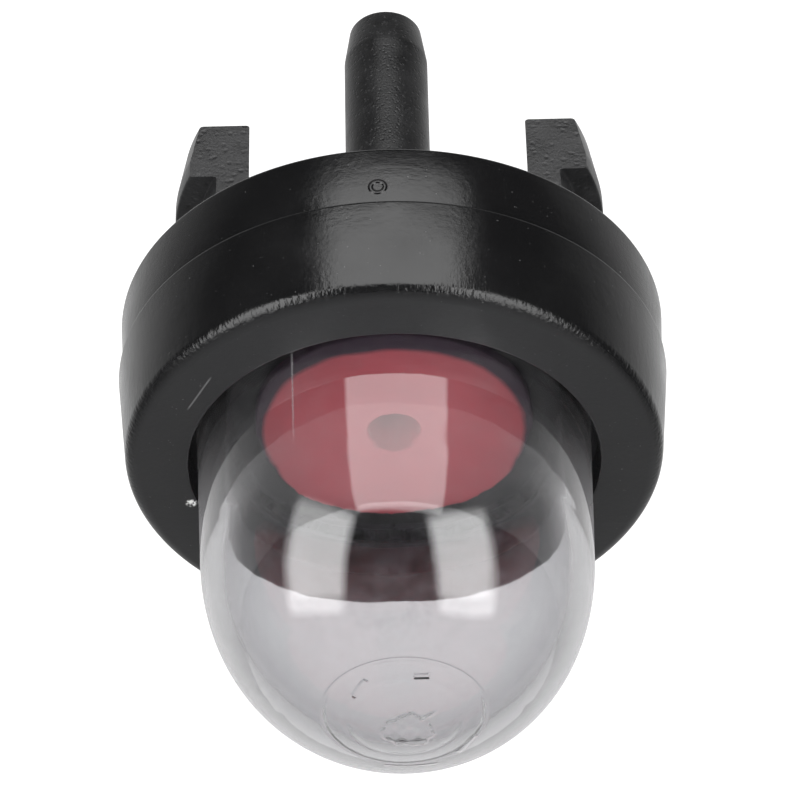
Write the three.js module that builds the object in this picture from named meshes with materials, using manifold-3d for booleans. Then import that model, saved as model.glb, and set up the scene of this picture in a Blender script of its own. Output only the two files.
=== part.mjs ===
// Snap-in fuel primer bulb: clear dome, black retaining ring, black base with two snap hooks and two hose nipples.
// Millimetres. +Z runs along the dome's axis, out of the panel towards the dome's tip.
// The origin is on that axis, in the plane where the base's rim seats on the panel.
import * as THREE from 'three';
import { mergeVertices } from 'three/addons/utils/BufferGeometryUtils.js';
import Module from 'manifold-3d';

const wasm = await Module();
wasm.setup();

// Clear dome and its clamped flange
const domeRadius = 7.8;          // outside, where the dome leaves its flange
const domeDraft = 0.18;          // how much narrower it is at the cap's equator
const domeStraight = 5.8;        // flange to the cap's equator
const capHeight = 8.55;          // equator to the tip
const capFullness = 2.15;        // exponent of the cap's curve; 2 would be an ellipse
const bulbWall = 0.95;
const tipWall = 1.3;
const flangeWidth = 1.63;
const flangeThickness = 0.8;
const gateRadius = 1.0;          // round moulding mark on the tip
const gateHeight = 0.06;

// Retaining ring
const domeGap = 0.3;             // dome to the ring's opening
const lipThickness = 1.5;
const ringHeight = 4.3;          // seam to the front face
const ringWall = 1.42;           // at the seam
const ringDraft = 0.4;           // how much narrower the ring is at its front corner
const ringCorner = 0.6;
const seamChamfer = 0.12;
const openingChamfer = 0.12;

// Base: rim, spigot inside the ring, and the valve chamber
const rimStep = 0.12;            // rim is this much smaller than the ring
const rimHeight = 2.75;
const rimEdge = 0.25;            // small chamfer on the rim's back corner
const spigotWall = 1.6;
const floorThickness = 1.2;
const ledgeWidth = 0.7;          // carries the valve plate
const chamberWall = 0.7;

// Snap hooks
const seatWidth = 2.96;          // flat of the rim outside the hooks
const hookThickness = 1.15;
const hookWidth = 7.3;
const panelGrip = 5.4;           // seat to the barb's ledge
const barbReach = 0.98;
const barbLand = 0.8;
const barbRamp = 2.0;
const barbLead = 0.34;           // how much the ramp draws in towards the hook's end

// Hose nipples
const nippleRadius = 1.72;
const nippleBore = 0.85;
const nippleOffset = 4.0;        // from the dome's axis
const returnLength = 12.9;
const suctionLength = 8.8;
const nippleTaperLength = 1.8;
const nippleTaper = 0.25;
const nippleTipChamfer = 0.25;

// Valve plate and valve
const plateThickness = 1.2;
const portCount = 5;
const portRadius = 0.6;
const portInset = 1.7;           // in from the valve disc's edge
const portSpread = 200;          // degrees that the ports span, centred on the suction side
const valveMargin = 1.15;        // valve disc to the dome's inner wall
const valveEdge = 0.45;          // thickness of the disc's edge
const valveCrown = 0.2;          // rise from the edge to the middle
const valveRound = 0.12;
const valveBore = 1.05;
const stemWall = 0.5;
const beadStep = 0.35;
const beadHeight = 0.5;
const lipSpread = 0.5;           // thickness of the closed duckbill lips
const duckbillClearance = 0.6;
const chamberGap = 0.3;          // retaining bead to the chamber's wall

// Assembly clearances between round faces
const flangeGap = 0.12;
const spigotGap = 0.08;
const plateGap = 0.06;
const stemGap = 0.05;

// Facets of the round pieces
const wideSides = 60;
const smallSides = 32;
const portSides = 16;
const capSteps = 9;
const cornerSteps = 4;

// How far a cutting body runs past the face that it cuts
const overcut = 1;

// Radii that follow
const flangeRadius = domeRadius + flangeWidth;
const openingRadius = domeRadius + domeGap;
const ringInner = flangeRadius + flangeGap;
const ringRadius = ringInner + ringWall;
const rimRadius = ringRadius - rimStep;
const spigotRadius = ringInner - spigotGap;
const spigotInner = spigotRadius - spigotWall;
const plateRadius = spigotInner - plateGap;
const cavityRadius = plateRadius - ledgeWidth;
const hookStemRadius = rimRadius - seatWidth;
const domeInner = domeRadius - bulbWall;
const valveRadius = domeInner - valveMargin;
const valveStem = valveBore + stemWall;
const beadRadius = valveStem + beadStep;
const chamberHalf = beadRadius + chamberGap;
const portCircle = valveRadius - portInset;

// Heights that follow, from the seat
const frontZ = rimHeight + ringHeight;
const lipZ = frontZ - lipThickness;
const deckZ = lipZ - flangeThickness;
const plateZ = deckZ - plateThickness;
const equatorZ = lipZ + domeStraight;
const capRadius = domeRadius - domeDraft;
const capInner = capRadius - bulbWall;

const finish = {
  clear: { color: '#dfe2e4', roughness: 0.08, metalness: 0, transparent: true, opacity: 0.35 },
  ring: { color: '#1b1b1c', roughness: 0.3, metalness: 0 },
  body: { color: '#1f1f20', roughness: 0.35, metalness: 0 },
  plate: { color: '#161617', roughness: 0.4, metalness: 0 },
  silicone: { color: '#bf5f68', roughness: 0.5, metalness: 0 },
};

function solid(geometry) {
  const plain = geometry.index ? geometry.toNonIndexed() : geometry.clone();
  for (const name of Object.keys(plain.attributes)) {
    if (name !== 'position') plain.deleteAttribute(name);
  }
  const merged = mergeVertices(plain, 1e-5);
  const index = merged.index.array;
  const triangles = [];
  for (let i = 0; i < index.length; i += 3) {
    const [a, b, c] = [index[i], index[i + 1], index[i + 2]];
    if (a !== b && b !== c && c !== a) triangles.push(a, b, c);
  }
  return new wasm.Manifold(new wasm.Mesh({
    numProp: 3,
    vertProperties: new Float32Array(merged.attributes.position.array),
    triVerts: new Uint32Array(triangles),
  }));
}

function toMesh(name, body, look) {
  const data = body.getMesh();
  const geometry = new THREE.BufferGeometry();
  geometry.setAttribute('position', new THREE.BufferAttribute(new Float32Array(data.vertProperties), 3));
  geometry.setIndex(new THREE.BufferAttribute(new Uint32Array(data.triVerts), 1));
  const flat = geometry.toNonIndexed();
  flat.computeVertexNormals();
  const mesh = new THREE.Mesh(flat, new THREE.MeshStandardMaterial(look));
  mesh.name = name;
  return mesh;
}

// A closed profile of [radius, height] points, turned about Z
function turned(points, sides) {
  const closed = [...points, points[0]].map(([r, z]) => new THREE.Vector2(r, z));
  const geometry = new THREE.LatheGeometry(closed, sides);
  geometry.rotateX(Math.PI / 2);
  const body = solid(geometry);
  return body.volume() < 0 ? solid(reversed(geometry)) : body;
}

function reversed(geometry) {
  const copy = geometry.toNonIndexed();
  const p = copy.attributes.position;
  for (let i = 0; i < p.count; i += 3) {
    const x = p.getX(i);
    const y = p.getY(i);
    const z = p.getZ(i);
    p.setXYZ(i, p.getX(i + 1), p.getY(i + 1), p.getZ(i + 1));
    p.setXYZ(i + 1, x, y, z);
  }
  return copy;
}

function rod(radius, low, high, x, y, sides = smallSides) {
  const geometry = new THREE.CylinderGeometry(radius, radius, high - low, sides);
  geometry.rotateX(Math.PI / 2);
  geometry.translate(x, y, (low + high) / 2);
  return solid(geometry);
}

function block(x0, x1, y0, y1, z0, z1) {
  const geometry = new THREE.BoxGeometry(x1 - x0, y1 - y0, z1 - z0);
  geometry.translate((x0 + x1) / 2, (y0 + y1) / 2, (z0 + z1) / 2);
  return solid(geometry);
}

// Points along a quarter of an ellipse, from the equator up to the pole; a fullness over 2 swells its shoulder
function quarterArc(radius, height, centreZ, steps, fullness = 2, lastRadius = 0) {
  const lastAngle = Math.acos((lastRadius / radius) ** (fullness / 2));
  const points = [];
  for (let i = 0; i <= steps; i += 1) {
    const angle = (lastAngle * i) / steps;
    points.push([
      radius * Math.cos(angle) ** (2 / fullness),
      centreZ + height * Math.sin(angle) ** (2 / fullness),
    ]);
  }
  return points;
}

// Hollow dome with a flat clamped flange; its tip carries the round gate mark
function makeBulb() {
  const outside = quarterArc(capRadius, capHeight, equatorZ, capSteps, capFullness, gateRadius);
  const markZ = outside[outside.length - 1][1] + gateHeight;
  const inside = quarterArc(capInner, capHeight - tipWall, equatorZ, capSteps, capFullness);
  inside[inside.length - 1][0] = 0;
  const profile = [
    [domeInner, deckZ],
    [flangeRadius, deckZ],
    [flangeRadius, lipZ],
    [domeRadius, lipZ],
    ...outside,
    [gateRadius, markZ],
    [0, markZ],
    ...inside.reverse(),
  ];
  return toMesh('bulb', turned(profile, wideSides), finish.clear);
}

// Ring pressed over the base's spigot; its lip clamps the bulb's flange
function makeRetainingRing() {
  const cornerRadius = ringRadius - ringDraft;
  const corner = quarterArc(ringCorner, ringCorner, frontZ - ringCorner, cornerSteps)
    .map(([r, z]) => [r + cornerRadius - ringCorner, z]);
  const profile = [
    [ringInner, rimHeight],
    [ringRadius - seamChamfer, rimHeight],
    [ringRadius, rimHeight + seamChamfer],
    ...corner,
    [openingRadius + openingChamfer, frontZ],
    [openingRadius, frontZ - openingChamfer],
    [openingRadius, lipZ],
    [ringInner, lipZ],
  ];
  return toMesh('retaining_ring', turned(profile, wideSides), finish.ring);
}

// One snap hook: an arc-shaped leaf with a ramped barb, cut square at both sides
function snapHook(side) {
  const inner = hookStemRadius - hookThickness;
  const barb = hookStemRadius + barbReach;
  const landZ = -panelGrip - barbLand;
  const endZ = landZ - barbRamp;
  const leaf = turned([
    [inner, floorThickness / 2],
    [inner, endZ],
    [barb - barbLead, endZ],
    [barb, landZ],
    [barb, -panelGrip],
    [hookStemRadius, -panelGrip],
    [hookStemRadius, floorThickness / 2],
  ], wideSides);
  const reach = barb + overcut;
  const half = hookWidth / 2;
  const window = block(
    Math.min(0, side * reach), Math.max(0, side * reach), -half, half, endZ - overcut, floorThickness,
  );
  return leaf.intersect(window);
}

// A hose nipple without its bore, from the floor down to its tapered tip
function nippleBody(y, length) {
  const tip = nippleRadius - nippleTaper;
  const body = turned([
    [0, floorThickness / 2],
    [nippleRadius, floorThickness / 2],
    [nippleRadius, -length + nippleTaperLength],
    [tip, -length + nippleTipChamfer],
    [tip - nippleTipChamfer, -length],
    [0, -length],
  ], smallSides);
  return body.translate([0, y, 0]);
}

// Round-ended wall about the return chamber, from the duckbill out to the return bore
function chamberOutline(half) {
  const shape = new THREE.Shape();
  shape.absarc(0, 0, half, 0, Math.PI, false);
  shape.absarc(0, -nippleOffset, half, Math.PI, 2 * Math.PI, false);
  shape.closePath();
  return shape;
}

function returnChamberWall() {
  const extrude = (half, low, high) => {
    const geometry = new THREE.ExtrudeGeometry(chamberOutline(half), {
      depth: high - low, bevelEnabled: false, curveSegments: smallSides / 2,
    });
    geometry.translate(0, 0, low);
    return solid(geometry);
  };
  const outside = extrude(chamberHalf + chamberWall, floorThickness / 2, plateZ);
  const inside = extrude(chamberHalf, floorThickness, plateZ + overcut);
  return outside.subtract(inside);
}

// Rim, spigot, chamber, hooks and nipples, moulded in one
function makeBase() {
  let body = turned([
    [0, 0],
    [rimRadius - rimEdge, 0],
    [rimRadius, rimEdge],
    [rimRadius, rimHeight],
    [spigotRadius, rimHeight],
    [spigotRadius, deckZ],
    [spigotInner, deckZ],
    [spigotInner, plateZ],
    [cavityRadius, plateZ],
    [cavityRadius, floorThickness],
    [0, floorThickness],
  ], wideSides);
  body = body.add(returnChamberWall());
  for (const side of [-1, 1]) body = body.add(snapHook(side));
  body = body.add(nippleBody(-nippleOffset, returnLength));
  body = body.add(nippleBody(nippleOffset, suctionLength));
  body = body.subtract(rod(nippleBore, -returnLength - overcut, floorThickness + overcut, 0, -nippleOffset));
  body = body.subtract(rod(nippleBore, -suctionLength - overcut, floorThickness + overcut, 0, nippleOffset));
  return toMesh('base', body, finish.body);
}

// Disc that carries the valve; its ports lie on the suction side, under the valve's disc
function makeValvePlate() {
  let body = rod(plateRadius, plateZ, deckZ, 0, 0, wideSides);
  body = body.subtract(rod(valveStem + stemGap, plateZ - overcut, deckZ + overcut, 0, 0));
  for (let i = 0; i < portCount; i += 1) {
    const angle = THREE.MathUtils.degToRad(90 + portSpread * (i / (portCount - 1) - 0.5));
    const x = portCircle * Math.cos(angle);
    const y = portCircle * Math.sin(angle);
    body = body.subtract(rod(portRadius, plateZ - overcut, deckZ + overcut, x, y, portSides));
  }
  return toMesh('valve_plate', body, finish.plate);
}

// Umbrella disc, stem, retaining bead and duckbill, moulded in one
function makeValve() {
  const billZ = floorThickness + duckbillClearance;
  const edgeZ = deckZ + valveEdge;
  const topZ = edgeZ + valveCrown + overcut;
  const wide = valveRadius + overcut;
  let body = turned([
    [0, edgeZ + valveCrown],
    [valveRadius - valveRound, edgeZ],
    [valveRadius, edgeZ - valveRound],
    [valveRadius, deckZ],
    [valveStem, deckZ],
    [valveStem, plateZ],
    [beadRadius, plateZ],
    [valveStem, plateZ - beadHeight],
    [valveStem, billZ],
    [0, billZ],
  ].reverse(), smallSides * 2);
  const bill = new THREE.Shape();
  bill.moveTo(-wide, topZ);
  bill.lineTo(-wide, plateZ - beadHeight);
  bill.lineTo(-valveStem, plateZ - beadHeight);
  bill.lineTo(-lipSpread / 2, billZ);
  bill.lineTo(lipSpread / 2, billZ);
  bill.lineTo(valveStem, plateZ - beadHeight);
  bill.lineTo(wide, plateZ - beadHeight);
  bill.lineTo(wide, topZ);
  bill.closePath();
  const wedge = new THREE.ExtrudeGeometry(bill, { depth: 2 * wide, bevelEnabled: false });
  wedge.translate(0, 0, -wide);
  wedge.rotateX(Math.PI / 2);
  body = body.intersect(solid(wedge));
  body = body.subtract(rod(valveBore, plateZ - beadHeight / 2, topZ, 0, 0));
  return toMesh('valve', body, finish.silicone);
}

const primerBulb = new THREE.Group();
primerBulb.add(makeBase());
primerBulb.add(makeValvePlate());
primerBulb.add(makeValve());
primerBulb.add(makeBulb());
primerBulb.add(makeRetainingRing());

export default primerBulb;
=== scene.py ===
import math

import bmesh
import bpy
import numpy as np
from mathutils import Matrix, Vector


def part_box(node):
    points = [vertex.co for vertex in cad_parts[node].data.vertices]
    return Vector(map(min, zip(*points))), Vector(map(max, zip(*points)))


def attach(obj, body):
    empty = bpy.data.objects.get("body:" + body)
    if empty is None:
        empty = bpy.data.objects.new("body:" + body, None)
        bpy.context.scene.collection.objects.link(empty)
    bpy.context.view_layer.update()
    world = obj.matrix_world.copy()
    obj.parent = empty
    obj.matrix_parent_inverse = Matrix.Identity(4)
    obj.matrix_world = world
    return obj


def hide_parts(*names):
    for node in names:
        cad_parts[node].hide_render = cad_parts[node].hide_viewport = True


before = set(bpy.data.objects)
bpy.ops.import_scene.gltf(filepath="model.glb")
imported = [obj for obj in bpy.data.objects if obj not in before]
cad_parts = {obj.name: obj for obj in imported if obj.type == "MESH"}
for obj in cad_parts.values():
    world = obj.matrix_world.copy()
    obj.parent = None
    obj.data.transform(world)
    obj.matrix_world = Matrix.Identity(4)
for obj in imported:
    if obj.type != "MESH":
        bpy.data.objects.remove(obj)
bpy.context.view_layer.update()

# Snap-in fuel primer bulb. Lengths are in millimetres until a mesh is written, which is in metres.
MM = 0.001


def node_box(name):
    """Lowest and highest corner of a CAD node, in millimetres."""
    low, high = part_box(name)
    return np.array(low) / MM, np.array(high) / MM


# Sizes taken from the frame
ring_low, ring_high = node_box("retaining_ring")
base_low, base_high = node_box("base")
bulb_low, bulb_high = node_box("bulb")
valve_low, valve_high = node_box("valve")
plate_low, plate_high = node_box("valve_plate")
SEAM_Z, FRONT_Z, RING_R = ring_low[2], ring_high[2], ring_high[0]
RIM_R, RETURN_TIP_Z = base_high[0], base_low[2]
DECK_Z, DOME_TIP_Z, FLANGE_R = bulb_low[2], bulb_high[2], bulb_high[0]
VALVE_R, VALVE_TOP_Z, BILL_Z = valve_high[0], valve_high[2], valve_low[2]
PLATE_Z, PLATE_R = plate_low[2], plate_high[0]

# Sizes of the moulded details, as in the CAD source
LIP_THICKNESS = 1.5
LIP_Z = FRONT_Z - LIP_THICKNESS
DOME_R = 7.8
DOME_DRAFT = 0.18
DOME_STRAIGHT = 5.8
CAP_R = DOME_R - DOME_DRAFT
CAP_FULLNESS = 2.15
WALL = 0.95
TIP_WALL = 1.3
NUB_HEIGHT = 0.06
EQUATOR_Z = LIP_Z + DOME_STRAIGHT
CAP_HEIGHT = DOME_TIP_Z - NUB_HEIGHT - EQUATOR_Z
DOME_GAP = 0.3
OPENING_R = DOME_R + DOME_GAP
FLANGE_GAP = 0.12
RING_INNER_R = FLANGE_R + FLANGE_GAP
RING_DRAFT = 0.4
SPIGOT_GAP = 0.08
SPIGOT_WALL = 1.6
SPIGOT_R = RING_INNER_R - SPIGOT_GAP
SPIGOT_INNER_R = SPIGOT_R - SPIGOT_WALL
LEDGE_WIDTH = 0.7
CAVITY_R = PLATE_R - LEDGE_WIDTH
FLOOR_Z = 1.2
SEAT_WIDTH = 2.96
HOOK_STEM_R = RIM_R - SEAT_WIDTH
HOOK_LEAF = 1.15
HOOK_WIDTH = 7.3
HOOK_GRIP = 5.4
BARB_REACH = 0.98
BARB_LAND = 0.8
BARB_RAMP = 2.0
BARB_LEAD = 0.34
NIPPLE_R = 1.72
NIPPLE_BORE_R = 0.85
NIPPLE_Y = 4.0
NIPPLE_TAPER_LENGTH = 1.8
NIPPLE_TAPER_DEPTH = 0.25
SUCTION_TIP_Z = -8.8
VALVE_BORE_R = 1.05
VALVE_STEM_R = 1.55
VALVE_BEAD_R = 1.9
VALVE_BEAD_HEIGHT = 0.5

# Details of the scene alone. The hooks and nipples run into the rim as far as ROOT_Z.
RIM_BACK_SPREAD = 0.08
RIM_SEAM_INSET = 0.06
ROOT_Z = 0.4
LEAN = 0.22
VALVE_EDGE_INSET = 0.06
VALVE_CROWN = 0.16
VALVE_BORE_DEPTH = 0.25
GATE_CENTRE = (-0.08, -0.4)
GATE_R = 1.02
GATE_REACH = 1.8
BURR_CENTRE = (-0.8, -1.2)
BURR_HEIGHT = 0.035

# The photograph's viewing angle: camera above the panel plane, in front of -Y, turned upside down
VIEW_ELEVATION = math.radians(39.3)
VIEW_ROLL = math.radians(1.3)
VIEW_DISTANCE = 150.0
FRAME_PIXELS = 800
PIXELS_PER_MM = 25.4
FRONT_CENTRE_PIXEL = (394.7, 468.1)


def camera_axes():
    """Right, up and towards-the-camera, for a view along the elevation, turned half round and rolled."""
    toward = Vector((0, -math.cos(VIEW_ELEVATION), math.sin(VIEW_ELEVATION)))
    up = -Vector((0, math.sin(VIEW_ELEVATION), math.cos(VIEW_ELEVATION)))
    right = Vector((-1, 0, 0))
    c, s = math.cos(VIEW_ROLL), math.sin(VIEW_ROLL)
    return right * c - up * s, up * c + right * s, toward


def make_camera():
    right, up, toward = camera_axes()
    aside = (FRONT_CENTRE_PIXEL[0] - FRAME_PIXELS / 2) / PIXELS_PER_MM
    above = (FRAME_PIXELS / 2 - FRONT_CENTRE_PIXEL[1]) / PIXELS_PER_MM
    place = Vector((0, 0, FRONT_Z)) + toward * VIEW_DISTANCE - right * aside - up * above
    data = bpy.data.cameras.new("photo_view")
    data.sensor_width = 36.0
    data.lens = data.sensor_width * PIXELS_PER_MM * VIEW_DISTANCE / FRAME_PIXELS
    data.clip_start, data.clip_end = 0.01, 10.0
    camera = bpy.data.objects.new("photo_view", data)
    turn = Matrix((right, up, toward)).transposed()
    camera.matrix_world = Matrix.Translation(place * MM) @ turn.to_4x4()
    bpy.context.scene.collection.objects.link(camera)
    bpy.context.scene.camera = camera


make_camera()


# Nodes and colours
def linear(hex_colour):
    """sRGB hex to linear RGBA."""
    parts = np.array([int(hex_colour[i:i + 2], 16) for i in (1, 3, 5)]) / 255
    bright = np.where(parts <= 0.04045, parts / 12.92, ((parts + 0.055) / 1.055) ** 2.4)
    return (*bright.tolist(), 1.0)


def add(tree, kind, inputs=None, **settings):
    """Adds a node; inputs holds constants or sockets to link, by socket name or number."""
    made = tree.nodes.new(kind)
    for name, value in settings.items():
        setattr(made, name, value)
    for key, value in (inputs or {}).items():
        if isinstance(value, bpy.types.NodeSocket):
            tree.links.new(value, made.inputs[key])
        else:
            made.inputs[key].default_value = value
    return made


def math_node(tree, operation, a, b=0.0, c=0.0, clamp=False):
    made = add(tree, "ShaderNodeMath", {0: a, 1: b, 2: c}, operation=operation, use_clamp=clamp)
    return made.outputs[0]


def new_material(name):
    material = bpy.data.materials.new(name)
    material.use_nodes = True
    material.node_tree.nodes.clear()
    return material, material.node_tree


def finish_with(tree, shader):
    add(tree, "ShaderNodeOutputMaterial", {"Surface": shader.outputs[0]})


def noise(tree, place, size_mm, detail=3.0, roughness=0.5):
    """Noise whose features are about size_mm across on Object coordinates."""
    return add(tree, "ShaderNodeTexNoise", {
        "Vector": place, "Scale": 1.0 / (size_mm * MM), "Detail": detail, "Roughness": roughness,
    }).outputs["Fac"]


def remap(tree, value, low, high, to_low=0.0, to_high=1.0):
    return add(tree, "ShaderNodeMapRange", {
        "Value": value, "From Min": low, "From Max": high, "To Min": to_low, "To Max": to_high,
    }, clamp=True).outputs[0]


def mix_colour(tree, factor, a, b):
    return add(tree, "ShaderNodeMix", {0: factor, 6: a, 7: b}, data_type="RGBA").outputs[2]


def dot(tree, a, vector):
    made = add(tree, "ShaderNodeVectorMath", {0: a, 1: tuple(vector)}, operation="DOT_PRODUCT")
    return made.outputs["Value"]


def bump(tree, height, distance_mm, strength=1.0, below=None):
    inputs = {"Height": height, "Distance": distance_mm * MM, "Strength": strength}
    if below is not None:
        inputs["Normal"] = below
    return add(tree, "ShaderNodeBump", inputs).outputs[0]


def spot(tree, place, centre_mm, radius_mm, soft_mm):
    """1 within a radius of a point on Object coordinates, falling to 0 over the soft width."""
    away = add(tree, "ShaderNodeVectorMath", {
        0: place, 1: tuple(c * MM for c in centre_mm)}, operation="DISTANCE").outputs["Value"]
    return remap(tree, away, (radius_mm + soft_mm) * MM, radius_mm * MM)


def stroke(tree, place, start_mm, end_mm, width_mm):
    """1 on a thin straight line from start to end on Object coordinates, with soft sides."""
    start, end = Vector(start_mm) * MM, Vector(end_mm) * MM
    along = (end - start).normalized()
    middle, half = (start + end) / 2, (end - start).length / 2
    offset = add(tree, "ShaderNodeVectorMath", {0: place, 1: tuple(middle)}, operation="SUBTRACT").outputs[0]
    reach = dot(tree, offset, along)
    away = add(tree, "ShaderNodeVectorMath", {0: offset, 1: tuple(along)}, operation="CROSS_PRODUCT")
    away = add(tree, "ShaderNodeVectorMath", {0: away.outputs[0]}, operation="LENGTH").outputs["Value"]
    inside = remap(tree, math_node(tree, "ABSOLUTE", reach), half, half * 0.8)
    return math_node(tree, "MULTIPLY", inside, remap(tree, away, width_mm * MM, width_mm * MM * 0.3))


def stretched(tree, place, scale):
    """Object coordinates multiplied by a scale, so that noise on them runs in one direction."""
    return add(tree, "ShaderNodeVectorMath", {0: place, 1: scale}, operation="MULTIPLY").outputs[0]


def cap_profile(radius, height, base_z, radii):
    """Points at the given radii on the cap's curve, (r/radius)^p + ((z - base_z)/height)^p = 1."""
    p = CAP_FULLNESS
    rise = np.maximum(0, 1 - (np.asarray(radii) / radius) ** p) ** (1 / p)
    return np.stack([radii, base_z + height * rise], -1)


def on_cap(x, y):
    """The point of the cap's outside above (x, y), in millimetres."""
    height = float(cap_profile(CAP_R, CAP_HEIGHT, EQUATOR_Z, [math.hypot(x, y)])[0, 1])
    return x - LEAN * (height - FRONT_Z) / (DOME_TIP_Z - FRONT_Z), y, height


def moulded_nylon():
    """Glass-filled black nylon, injection moulded: glossy where the tool was polished, with fine orange
    peel and flow marks, and matt on faces that look along the axis."""
    material, tree = new_material("moulded_black_nylon")
    place = add(tree, "ShaderNodeTexCoord").outputs["Object"]
    normal = add(tree, "ShaderNodeNewGeometry").outputs["Normal"]
    facing = add(tree, "ShaderNodeSeparateXYZ", {0: normal}).outputs["Z"]
    matt = remap(tree, facing, 0.7, 0.97)
    peel = noise(tree, place, 0.22, 2.0)
    grain = noise(tree, place, 0.05, 2.0)
    cloud = noise(tree, place, 2.5, 4.0)
    flow = noise(tree, stretched(tree, place, (0.25, 1.0, 1.0)), 0.5, 5.0, 0.7)
    patchy = remap(tree, noise(tree, place, 3.0, 1.0), 0.5, 0.62)
    # Fine draw marks across the rounded front corner
    lines = noise(tree, stretched(tree, place, (1.0, 1.0, 0.08)), 0.14, 2.0)
    corner = math_node(tree, "MULTIPLY", remap(tree, facing, 0.1, 0.3), remap(tree, facing, 0.97, 0.8))
    # Dust specks, one scratch and a chipped crumb at the opening
    specks = remap(tree, noise(tree, place, 0.09, 1.0), 0.77, 0.8)
    scratch = stroke(tree, place, (7.95, -3.9, FRONT_Z), (6.9, -5.9, FRONT_Z), 0.05)
    crumb = math_node(tree, "MULTIPLY", spot(tree, place, (8.12, 1.95, FRONT_Z), 0.16, 0.1),
                      remap(tree, noise(tree, place, 0.12, 2.0), 0.4, 0.55))
    gate_place = (0.4, -RIM_R, SEAM_Z - 0.8)
    gate = math_node(tree, "SUBTRACT", spot(tree, place, gate_place, 0.3, 0.08),
                     spot(tree, place, gate_place, 0.17, 0.08))
    shade = mix_colour(tree, matt, linear("#131314"), linear("#2e2e2f"))
    marks = math_node(tree, "MULTIPLY", specks, 0.45)
    marks = math_node(tree, "MAXIMUM", marks, math_node(tree, "MULTIPLY", scratch, 0.35))
    shade = mix_colour(tree, marks, shade, linear("#9a9a9a"))
    shade = mix_colour(tree, crumb, shade, linear("#e6e6e4"))
    rough = remap(tree, facing, 0.4, 0.95, 0.19, 0.37)
    rough = math_node(tree, "ADD", rough, remap(tree, cloud, 0.35, 0.7, -0.03, 0.08))
    relief = bump(tree, peel, 0.006, 1.0)
    relief = bump(tree, math_node(tree, "MULTIPLY", flow, patchy), 0.03, 0.35, relief)
    relief = bump(tree, math_node(tree, "MULTIPLY", lines, corner), 0.04, 0.8, relief)
    relief = bump(tree, gate, 0.08, 1.0, relief)
    relief = bump(tree, grain, 0.004, 0.6, relief)
    shader = add(tree, "ShaderNodeBsdfPrincipled", {
        "Base Color": shade, "Roughness": rough, "IOR": 1.53, "Normal": relief,
    })
    finish_with(tree, shader)
    return material


def spark_textured_nylon(name, dark, light, pit_mm):
    """The same nylon where the tool was left spark eroded: pitted and duller, greyest on the hooks."""
    material, tree = new_material(name)
    place = add(tree, "ShaderNodeTexCoord").outputs["Object"]
    cells = add(tree, "ShaderNodeTexVoronoi", {"Vector": place, "Scale": 1.0 / (pit_mm * MM)})
    pits = cells.outputs["Distance"]
    grain = noise(tree, place, 0.1, 3.0)
    cloud = noise(tree, place, 1.2, 4.0)
    shade = mix_colour(tree, remap(tree, cloud, 0.35, 0.7), linear(dark), linear(light))
    relief = bump(tree, remap(tree, pits, 0.0, 0.35), 0.03, 0.6)
    relief = bump(tree, grain, 0.02, 0.7, relief)
    shader = add(tree, "ShaderNodeBsdfPrincipled", {
        "Base Color": shade, "Roughness": remap(tree, cloud, 0.3, 0.7, 0.3, 0.42), "IOR": 1.53,
        "Normal": relief,
    })
    finish_with(tree, shader)
    return material


def red_silicone():
    """Red silicone rubber, compression moulded: satin, very slightly translucent, with fine dust."""
    material, tree = new_material("moulded_red_silicone")
    place = add(tree, "ShaderNodeTexCoord").outputs["Object"]
    cloud = noise(tree, place, 3.0, 3.0)
    grain = noise(tree, place, 0.15, 3.0)
    shade = mix_colour(tree, remap(tree, cloud, 0.3, 0.7), linear("#b5525b"), linear("#c25d66"))
    # Painted shade: the disc's edge on the nipple's side is darkened to a dull purple, standing for the
    # shade under the lip
    shade_centre_distance = add(tree, "ShaderNodeVectorMath", {
        0: stretched(tree, place, (1.0, 1.0, 0.0)), 1: (0.0, 0.45 * MM, 0.0)}, operation="DISTANCE")
    waver = remap(tree, cloud, 0.3, 0.7, -0.1 * MM, 0.1 * MM)
    edge = math_node(tree, "ADD", shade_centre_distance.outputs["Value"], waver)
    shade = mix_colour(tree, remap(tree, edge, 5.2 * MM, 5.45 * MM), shade, linear("#40333f"))
    shader = add(tree, "ShaderNodeBsdfPrincipled", {
        "Base Color": shade, "Roughness": 0.42, "IOR": 1.41, "Subsurface Weight": 0.1,
        "Subsurface Radius": (0.0010, 0.0004, 0.0004), "Normal": bump(tree, grain, 0.01, 0.4),
    })
    finish_with(tree, shader)
    return material


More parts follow.
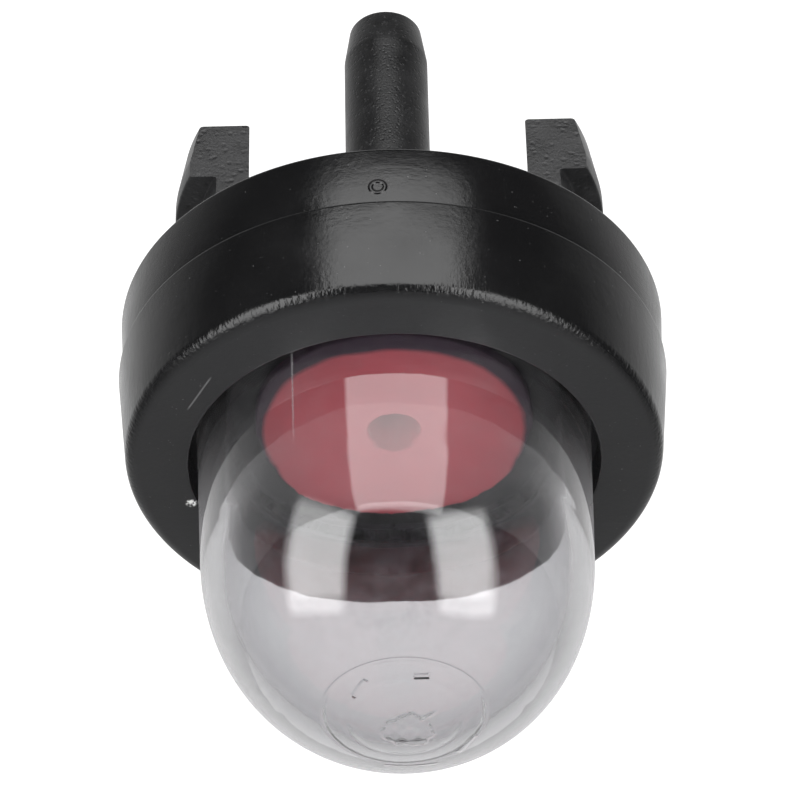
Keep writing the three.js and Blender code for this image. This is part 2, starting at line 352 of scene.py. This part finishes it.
def clear_polyurethane():
    """Clear thermoplastic polyurethane, injection moulded: glossy, with a slight ripple, a fine parting
    line and a thin pale haze that shows where the wall is seen edge on. Lamp light passes through it."""
    material, tree = new_material("clear_polyurethane")
    place = add(tree, "ShaderNodeTexCoord").outputs["Object"]
    ripple = noise(tree, place, 3.5, 2.0)
    fine_ripple = noise(tree, place, 0.8, 3.0)
    line = math_node(tree, "ABSOLUTE", dot(tree, place, (0.87, 0.49, 0.0)))
    line = remap(tree, line, 0.06 * MM, 0.02 * MM)
    flat_place = stretched(tree, place, (1.0, 1.0, 0.0))
    from_axis = add(tree, "ShaderNodeVectorMath", {0: flat_place}, operation="LENGTH")
    outer = math_node(tree, "GREATER_THAN", from_axis.outputs["Value"], (DOME_R - WALL / 2) * MM)
    line = math_node(tree, "MULTIPLY", line, outer)
    near_side = remap(tree, dot(tree, place, (0.0, -1.0, 0.0)), 2.0 * MM, 3.0 * MM)
    low = remap(tree, dot(tree, place, (0.0, 0.0, 1.0)), EQUATOR_Z * MM, (EQUATOR_Z - 2.0) * MM)
    line = math_node(tree, "MULTIPLY", line, math_node(tree, "MULTIPLY", near_side, low))
    relief = bump(tree, ripple, 0.03, 0.6)
    relief = bump(tree, fine_ripple, 0.004, 0.5, relief)
    # Small creases round the gate mark
    for start, end, width in (((1.4, -2.9), (1.95, -2.0), 0.16), ((-0.3, -3.1), (-0.95, -3.05), 0.14),
                              ((-1.9, 1.6), (-2.6, 0.5), 0.16), ((0.9, 2.3), (-1.2, 2.35), 0.12)):
        relief = bump(tree, stroke(tree, place, on_cap(*start), on_cap(*end), width), 0.05, 1.0, relief)
    body = add(tree, "ShaderNodeBsdfPrincipled", {
        "Base Color": linear("#f4f4f6"), "Roughness": 0.03, "IOR": 1.49, "Transmission Weight": 1.0,
        "Coat Weight": 0.8, "Coat Roughness": 0.02, "Normal": relief, "Coat Normal": relief,
    })
    edge_on = add(tree, "ShaderNodeLayerWeight", {"Blend": 0.5}).outputs["Facing"]
    edge_on = math_node(tree, "MULTIPLY", math_node(tree, "POWER", edge_on, 3.0), remap(
        tree, dot(tree, place, (0.0, 0.0, 1.0)), (FRONT_Z + 0.8) * MM, (FRONT_Z + 3.5) * MM, 0.2, 1.0))
    film = remap(tree, noise(tree, place, 1.1, 5.0, 0.65), 0.45, 0.75, 0.0, 0.035)
    # Painted reflection of the red valve in the inner wall: cloudy, faintly purple patches low on the wall
    # away from the camera
    far_side = remap(tree, dot(tree, place, (0.0, 1.0, 0.0)), 3.0 * MM, 5.0 * MM)
    painted_valve_reflection = remap(tree, noise(tree, place, 1.5, 6.0, 0.7), 0.49, 0.6, 0.0, 0.09)
    painted_valve_reflection = math_node(tree, "MULTIPLY", painted_valve_reflection, math_node(tree, "MULTIPLY", far_side, low))
    haze = math_node(tree, "MULTIPLY_ADD", edge_on, 0.55, math_node(tree, "ADD", film, painted_valve_reflection))
    haze = math_node(tree, "MULTIPLY_ADD", line, 0.3, haze, clamp=True)
    # Painted reflection of the red valve: the milky haze is tinted purple on the side away from the camera
    reflection_tint = mix_colour(tree, far_side, linear("#c8c7ca"), linear("#a99fb2"))
    pale = add(tree, "ShaderNodeBsdfDiffuse", {"Color": reflection_tint})
    through = add(tree, "ShaderNodeBsdfTranslucent", {"Color": linear("#dededf")})
    milky = add(tree, "ShaderNodeMixShader", {0: 0.5, 1: pale.outputs[0], 2: through.outputs[0]})
    hazy = add(tree, "ShaderNodeMixShader", {0: haze, 1: body.outputs[0], 2: milky.outputs[0]})
    shadow = add(tree, "ShaderNodeLightPath").outputs["Is Shadow Ray"]
    clear = add(tree, "ShaderNodeBsdfTransparent", {"Color": linear("#eeeeee")})
    finish_with(tree, add(tree, "ShaderNodeMixShader", {0: shadow, 1: hazy.outputs[0], 2: clear.outputs[0]}))
    return material


GLOSSY_BLACK = moulded_nylon()
HOOK_BLACK = spark_textured_nylon("pitted_black_nylon", "#242425", "#363637", 0.36)
NIPPLE_BLACK = spark_textured_nylon("fine_black_nylon", "#141415", "#212122", 0.2)
SILICONE = red_silicone()
CLEAR = clear_polyurethane()


# Surfaces
def rounded(corners, steps=5):
    """Profile from [radius, height, fillet] corners: each fillet is an arc tangent to both of its sides."""
    points = []
    count = len(corners)
    for i, (r, z, fillet) in enumerate(corners):
        here = np.array([r, z])
        if fillet == 0:
            points.append(here)
            continue
        before = np.array(corners[i - 1][:2]) - here
        after = np.array(corners[(i + 1) % count][:2]) - here
        before /= np.linalg.norm(before)
        after /= np.linalg.norm(after)
        half = math.acos(float(np.clip(before @ after, -1, 1))) / 2
        middle = before + after
        centre = here + middle / np.linalg.norm(middle) * fillet / math.sin(half)
        start = here + before * fillet / math.tan(half) - centre
        end = here + after * fillet / math.tan(half) - centre
        swing = math.pi - 2 * half
        for t in np.linspace(0, 1, steps + 1):
            arc = (math.sin((1 - t) * swing) * start + math.sin(t * swing) * end) / math.sin(swing)
            points.append(centre + arc)
    return np.array(points)


def write_mesh(name, points, faces, material, smooth_angle):
    """Mesh object from an array of points in millimetres; welded, with its faces pointing out."""
    mesh = bpy.data.meshes.new(name)
    mesh.from_pydata((np.asarray(points) * MM).tolist(), [], faces)
    mesh.materials.append(material)
    piece = bpy.data.objects.new(name, mesh)
    bpy.context.scene.collection.objects.link(piece)
    work = bmesh.new()
    work.from_mesh(mesh)
    bmesh.ops.remove_doubles(work, verts=work.verts, dist=1e-7)
    bmesh.ops.dissolve_degenerate(work, edges=work.edges, dist=1e-8)
    if work.calc_volume(signed=True) < 0:
        bmesh.ops.reverse_faces(work, faces=work.faces)
    for face in work.faces:
        face.smooth = True
    for edge in work.edges:
        if len(edge.link_faces) == 2 and edge.calc_face_angle(0.0) > math.radians(smooth_angle):
            edge.smooth = False
    work.to_mesh(mesh)
    work.free()
    return piece


def grid_faces(rows, columns, wrap_rows):
    """Quads of a grid whose columns wrap round, and whose rows wrap too if asked."""
    last = rows if wrap_rows else rows - 1
    i, j = np.meshgrid(np.arange(last), np.arange(columns), indexing="ij")
    here = i * columns + j
    beside = i * columns + (j + 1) % columns
    above = ((i + 1) % rows) * columns + (j + 1) % columns
    back = ((i + 1) % rows) * columns + j
    return np.stack([here, beside, above, back], -1).reshape(-1, 4).tolist()


def turned(name, profile, material, segments, shift=(0, 0), shape=None, smooth_angle=35):
    """Profile (radius, height) turned about Z: x = r cos a, y = r sin a. shape may move the points of the
    whole grid, from (x, y, z) to (x, y, z)."""
    angle = np.linspace(0, 2 * np.pi, segments, endpoint=False)[None, :]
    x = profile[:, 0:1] * np.cos(angle)
    y = profile[:, 0:1] * np.sin(angle)
    z = np.repeat(profile[:, 1:2], segments, 1)
    if shape is not None:
        x, y, z = shape(x, y, z)
    grid = np.stack([x + shift[0], y + shift[1], z], -1)
    faces = grid_faces(len(profile), segments, True)
    return write_mesh(name, grid.reshape(-1, 3), faces, material, smooth_angle)


def smooth_step(value):
    """0 below 0, 1 above 1, and 3t^2 - 2t^3 between."""
    t = np.clip(value, 0, 1)
    return t * t * (3 - 2 * t)


def dress(piece, node):
    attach(piece, "root")
    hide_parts(node)


def make_bulb():
    """Hollow dome: a slightly drafted tube that runs smoothly into a superelliptical cap. The core left
    two faint circles inside the tip, ridges of 0.035 and 0.01 mm at r = 2.8 and 2.05 mm. The gate left a
    low uneven nub outside, a little off the axis, with one short burr. The tip leans over by 0.22 mm,
    with the square of the height."""
    start = CAP_R * math.cos(math.radians(2.0))
    outer_radii = np.concatenate([
        start * np.cos(np.linspace(0, 1.33, 60)), np.linspace(1.75, 0, 44),
    ])
    inner_r, inner_h = CAP_R - WALL, CAP_HEIGHT - TIP_WALL
    inner_radii = np.concatenate([
        np.linspace(0, 4.2, 130), inner_r * np.cos(np.linspace(0.83, 0, 40)),
    ])
    outside = cap_profile(CAP_R, CAP_HEIGHT, EQUATOR_Z, outer_radii)
    inside = cap_profile(inner_r, inner_h, EQUATOR_Z, inner_radii)
    for ring_r, ridge, width in ((2.05, 0.01, 0.12), (2.8, 0.035, 0.07)):
        inside[:, 1] -= ridge * np.exp(-((inner_radii - ring_r) / width) ** 2)
    foot = rounded([
        [DOME_R - WALL, DECK_Z, 0.15], [FLANGE_R, DECK_Z, 0.2], [FLANGE_R, LIP_Z, 0.2],
        [DOME_R, LIP_Z, 0.12], [outside[0, 0], outside[0, 1], 0],
    ])[:-1]

    def gate_and_lean(x, y, z):
        """Raises the uneven gate nub and its burr on the outside of the tip, and leans the dome over."""
        dx, dy = x - GATE_CENTRE[0], y - GATE_CENTRE[1]
        around = np.arctan2(dy, dx)
        waves = 0.06 * np.sin(3 * around + 1) + 0.04 * np.sin(7 * around) + 0.03 * np.sin(11 * around + 2)
        edge = GATE_R + waves
        inside_edge = smooth_step((edge - np.hypot(dx, dy)) / 0.14)
        rough = 0.25 * np.sin(3 * x + 2 * y) * np.sin(3 * y - 2 * x + 1)
        rough = rough + 0.05 * np.sin(11 * x) * np.sin(9 * y)
        along = 0.85 * (x - BURR_CENTRE[0]) + 0.53 * (y - BURR_CENTRE[1])
        across = 0.53 * (x - BURR_CENTRE[0]) - 0.85 * (y - BURR_CENTRE[1])
        burr = BURR_HEIGHT * np.exp(-(along / 0.3) ** 4 - (across / 0.07) ** 2)
        top = (np.hypot(x, y) < GATE_REACH) & (z > EQUATOR_Z + CAP_HEIGHT - 0.6 * TIP_WALL)
        rise = NUB_HEIGHT * inside_edge * (0.6 + rough) + burr
        lean = -LEAN * (np.maximum(0, z - FRONT_Z) / (DOME_TIP_Z - FRONT_Z)) ** 2
        return x + lean, y, z + np.where(top, rise, 0)

    profile = np.concatenate([foot, outside, inside])
    piece = turned("clear_dome", profile, CLEAR, 320, shape=gate_and_lean)
    dress(piece, "bulb")


def make_ring():
    """Front band: drafted outside, rounded front corner, flat annular face and a lip over the flange."""
    front_r = RING_R - RING_DRAFT
    profile = rounded([
        [RING_INNER_R, SEAM_Z, 0], [RING_R, SEAM_Z, 0.13], [front_r, FRONT_Z, 0.6],
        [OPENING_R, FRONT_Z, 0.12], [OPENING_R, LIP_Z, 0], [RING_INNER_R, LIP_Z, 0],
    ], 8)
    piece = turned("front_ring", profile, GLOSSY_BLACK, 384)
    dress(piece, "retaining_ring")


def make_rim():
    """Back band, slightly drafted, with its spigot and the valve chamber's floor, one turned profile."""
    profile = rounded([
        [0, 0, 0], [RIM_R + RIM_BACK_SPREAD, 0, 0.18], [RIM_R - RIM_SEAM_INSET, SEAM_Z, 0.06],
        [SPIGOT_R, SEAM_Z, 0], [SPIGOT_R, DECK_Z, 0.1], [SPIGOT_INNER_R, DECK_Z, 0.05],
        [SPIGOT_INNER_R, PLATE_Z, 0], [CAVITY_R, PLATE_Z, 0], [CAVITY_R, FLOOR_Z, 0], [0, FLOOR_Z, 0],
    ], 6)
    piece = turned("base_rim", profile, GLOSSY_BLACK, 384)
    dress(piece, "base")


def make_hook(name, side):
    """Arc-shaped leaf with a ramped barb: each profile point (r, z) is carried across y, with
    x = sqrt(r^2 - y^2), and both ends are closed by the profile's own outline."""
    barb_r = HOOK_STEM_R + BARB_REACH
    land_z = -HOOK_GRIP - BARB_LAND
    end_z = land_z - BARB_RAMP
    profile = rounded([
        [HOOK_STEM_R - HOOK_LEAF, ROOT_Z, 0], [HOOK_STEM_R - HOOK_LEAF, end_z, 0.13],
        [barb_r - BARB_LEAD, end_z, 0.16], [barb_r, land_z, 0.14], [barb_r, -HOOK_GRIP, 0.1],
        [HOOK_STEM_R, -HOOK_GRIP, 0.1], [HOOK_STEM_R, ROOT_Z, 0],
    ], 3)
    half = HOOK_WIDTH / 2
    y = np.linspace(-half, half, 49)[:, None]
    r, z = profile[None, :, 0], profile[None, :, 1]
    x = side * np.sqrt(r ** 2 - y ** 2)
    grid = np.stack([x, y + 0 * r, z + 0 * y], -1)
    rows, columns = x.shape
    faces = grid_faces(rows, columns, False)
    faces.append(list(range(columns)))
    faces.append(list(range((rows - 1) * columns, rows * columns))[::-1])
    piece = write_mesh(name, grid.reshape(-1, 3), faces, HOOK_BLACK, 40)
    dress(piece, "base")


def make_nipple(name, y, tip_z):
    """Round nipple with its bore, tapered over its last stretch and rounded at the tip."""
    tip_r = NIPPLE_R - NIPPLE_TAPER_DEPTH
    profile = rounded([
        [NIPPLE_BORE_R, ROOT_Z, 0], [NIPPLE_BORE_R, tip_z, 0.08], [tip_r, tip_z, 0.22],
        [NIPPLE_R, tip_z + NIPPLE_TAPER_LENGTH, 1.2], [NIPPLE_R, ROOT_Z, 0],
    ], 6)
    piece = turned(name, profile, NIPPLE_BLACK, 96, shift=(0, y))
    dress(piece, "base")


def make_valve():
    """Umbrella disc, slightly crowned, with a deep hole, a stem and a bead, one turned grid. The stem runs
    on round to the duckbill's end, which can't be seen. The disc's edge keeps a thin ragged flash on part
    of its round."""
    edge_r = VALVE_R - VALVE_EDGE_INSET
    bore_z = PLATE_Z - VALVE_BORE_DEPTH
    profile = rounded([
        [0, bore_z, 0], [VALVE_BORE_R, bore_z, 0.1], [VALVE_BORE_R, VALVE_TOP_Z, 0.12],
        [edge_r, VALVE_TOP_Z - VALVE_CROWN, 0.14], [edge_r, DECK_Z, 0], [VALVE_STEM_R, DECK_Z, 0],
        [VALVE_STEM_R, PLATE_Z, 0], [VALVE_BEAD_R, PLATE_Z, 0.08],
        [VALVE_STEM_R, PLATE_Z - VALVE_BEAD_HEIGHT, 0], [VALVE_STEM_R, BILL_Z, 0.1], [0, BILL_Z, 0],
    ], 6)

    def flash(x, y, z):
        """Pushes the disc's edge out by a few hundredths where the flash is ragged."""
        angle, r = np.arctan2(y, x), np.hypot(x, y)
        ragged = np.abs(np.sin(23 * angle) * np.sin(41 * angle + 1) + 0.5 * np.sin(97 * angle))
        rim = np.clip((r - VALVE_R + 0.2) / 0.1, 0, 1) * (z > DECK_Z - 0.01)
        grow = 1 + rim * 0.05 * ragged * (np.sin(angle) > 0.2) / VALVE_R
        return x * grow, y * grow, z

    piece = turned("red_valve", profile, SILICONE, 384, shape=flash)
    dress(piece, "valve")


def dress_plate():
    """The CAD disc under the valve keeps its shape and takes the moulded nylon."""
    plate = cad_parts["valve_plate"]
    for slot in plate.material_slots:
        slot.material = GLOSSY_BLACK


make_bulb()
make_ring()
make_rim()
make_hook("hook_left", 1)
make_hook("hook_right", -1)
make_nipple("return_nipple", -NIPPLE_Y, RETURN_TIP_Z)
make_nipple("suction_nipple", NIPPLE_Y, SUCTION_TIP_Z)
make_valve()
dress_plate()


# Studio
FLOOR_DROP = 25.0
FLOOR_HALF = 600.0
ROOM_LEVEL = 0.045
BACKDROP_LEVEL = 0.8
INSIDE_WALL_EXTRA = 0.08
BEHIND_CLEAR_LEVEL = 0.74
DIFFUSE_LEVEL = 0.95
FLOOR_GLOW = 0.45
FLOOR_GLOW_BEHIND_CLEAR = 0.08
# Aside, above, half width, half height, strength and softness, as softbox takes them
SOFTBOXES = (
    (0, 60, 0.45, 0.34, 2.9, 0.02),
    (-52, 10, 0.34, 0.5, 3.7, 0.06),
    (41, 10, 0.33, 0.5, 3.7, 0.06),
)


def path_switches(tree):
    """1 where a ray has been through a glossy bounce, a diffuse one, and clear plastic."""
    path = add(tree, "ShaderNodeLightPath")
    return [math_node(tree, "GREATER_THAN", path.outputs[name], 0.5)
            for name in ("Glossy Depth", "Diffuse Depth", "Transmission Depth")]


def softbox(tree, direction, aside, above, half_width, half_height, strength, soft):
    """A panel seen in reflections: aside and above are angles in degrees from the photograph's camera,
    and the half sizes and the softness of its edges are tangents."""
    right, up, toward = camera_axes()
    a, e = math.radians(aside), math.radians(above)
    centre = toward * math.cos(e) * math.cos(a) + right * math.cos(e) * math.sin(a) + up * math.sin(e)
    across = (right * math.cos(a) - toward * math.sin(a)).normalized()
    upright = centre.cross(across).normalized()
    depth = dot(tree, direction, centre)
    front = math_node(tree, "GREATER_THAN", depth, 0.05)
    mask = front
    for axis, half in ((across, half_width), (upright, half_height)):
        offset = math_node(tree, "ABSOLUTE", math_node(tree, "DIVIDE", dot(tree, direction, axis), depth))
        mask = math_node(tree, "MULTIPLY", mask, remap(tree, offset, half + soft, half - soft))
    return math_node(tree, "MULTIPLY", mask, strength)


def make_world():
    """White for the camera, a little less through clear plastic; an even pale grey for diffuse light; and
    for reflections a dim room with a pale backdrop behind the object, a softbox above and one at each side.
    What is reflected inside the clear wall sees a lighter room."""
    world = bpy.data.worlds.new("studio")
    world.use_nodes = True
    tree = world.node_tree
    tree.nodes.clear()
    direction = add(tree, "ShaderNodeTexCoord").outputs["Generated"]
    toward = camera_axes()[2]
    backdrop = remap(tree, dot(tree, direction, -toward), 0.2, 0.95, 0.0, BACKDROP_LEVEL)
    seen = math_node(tree, "ADD", backdrop, ROOM_LEVEL)
    for panel in SOFTBOXES:
        seen = math_node(tree, "ADD", seen, softbox(tree, direction, *panel))
    glossy, diffuse, clear = path_switches(tree)
    seen = math_node(tree, "MULTIPLY_ADD", clear, INSIDE_WALL_EXTRA, seen)
    level = remap(tree, clear, 0.0, 1.0, 1.0, BEHIND_CLEAR_LEVEL)
    level = add(tree, "ShaderNodeMix", {0: diffuse, 2: level, 3: DIFFUSE_LEVEL}).outputs[0]
    level = add(tree, "ShaderNodeMix", {0: glossy, 2: level, 3: seen}).outputs[0]
    light = add(tree, "ShaderNodeBackground", {"Color": (1, 1, 1, 1), "Strength": level})
    add(tree, "ShaderNodeOutputWorld", {"Surface": light.outputs[0]})
    bpy.context.scene.world = world


def make_floor():
    """A plain pale floor, white to the camera apart from the object's shadow, and clear from below."""
    material, tree = new_material("pale_floor")
    path = add(tree, "ShaderNodeLightPath")
    glossy, _, clear = path_switches(tree)
    reflected = math_node(tree, "MULTIPLY", glossy, math_node(tree, "SUBTRACT", 1.0, clear))
    seen = math_node(tree, "MULTIPLY_ADD", path.outputs["Is Camera Ray"], FLOOR_GLOW, math_node(
        tree, "MULTIPLY", path.outputs["Is Transmission Ray"], FLOOR_GLOW_BEHIND_CLEAR))
    seen = math_node(tree, "MULTIPLY", seen, math_node(tree, "SUBTRACT", 1.0, reflected))
    lit = add(tree, "ShaderNodeBsdfDiffuse", {"Color": linear("#d8d8d8")})
    glow = add(tree, "ShaderNodeEmission", {"Color": (1, 1, 1, 1), "Strength": seen})
    both = add(tree, "ShaderNodeAddShader", {0: lit.outputs[0], 1: glow.outputs[0]})
    behind = add(tree, "ShaderNodeNewGeometry").outputs["Backfacing"]
    see_through = add(tree, "ShaderNodeBsdfTransparent")
    finish_with(tree, add(tree, "ShaderNodeMixShader", {
        0: behind, 1: both.outputs[0], 2: see_through.outputs[0],
    }))
    half, z = FLOOR_HALF, RETURN_TIP_Z - FLOOR_DROP
    corners = [[-half, -half, z], [half, -half, z], [half, half, z], [-half, half, z]]
    mesh = bpy.data.meshes.new("floor")
    mesh.from_pydata((np.array(corners) * MM).tolist(), [], [[0, 1, 2, 3]])
    mesh.materials.append(material)
    floor = bpy.data.objects.new("floor", mesh)
    floor.visible_glossy = False
    bpy.context.scene.collection.objects.link(floor)


def make_lamp(name, direction, distance_mm, size_mm, power):
    data = bpy.data.lights.new(name, "AREA")
    data.shape = "SQUARE"
    data.size = size_mm * MM
    data.energy = power
    lamp = bpy.data.objects.new(name, data)
    away = Vector(direction).normalized()
    lamp.location = away * distance_mm * MM
    lamp.rotation_mode = "QUATERNION"
    lamp.rotation_quaternion = away.to_track_quat("Z", "Y")
    lamp.visible_camera = False
    lamp.visible_glossy = False
    lamp.visible_transmission = False
    bpy.context.scene.collection.objects.link(lamp)


make_world()
make_floor()
make_lamp("key", (0.5, -0.6, 0.9), 400, 260, 0.5)
make_lamp("fill", (-0.8, -0.3, 0.7), 400, 260, 0.3)

scene = bpy.context.scene
scene.view_settings.view_transform = "Standard"
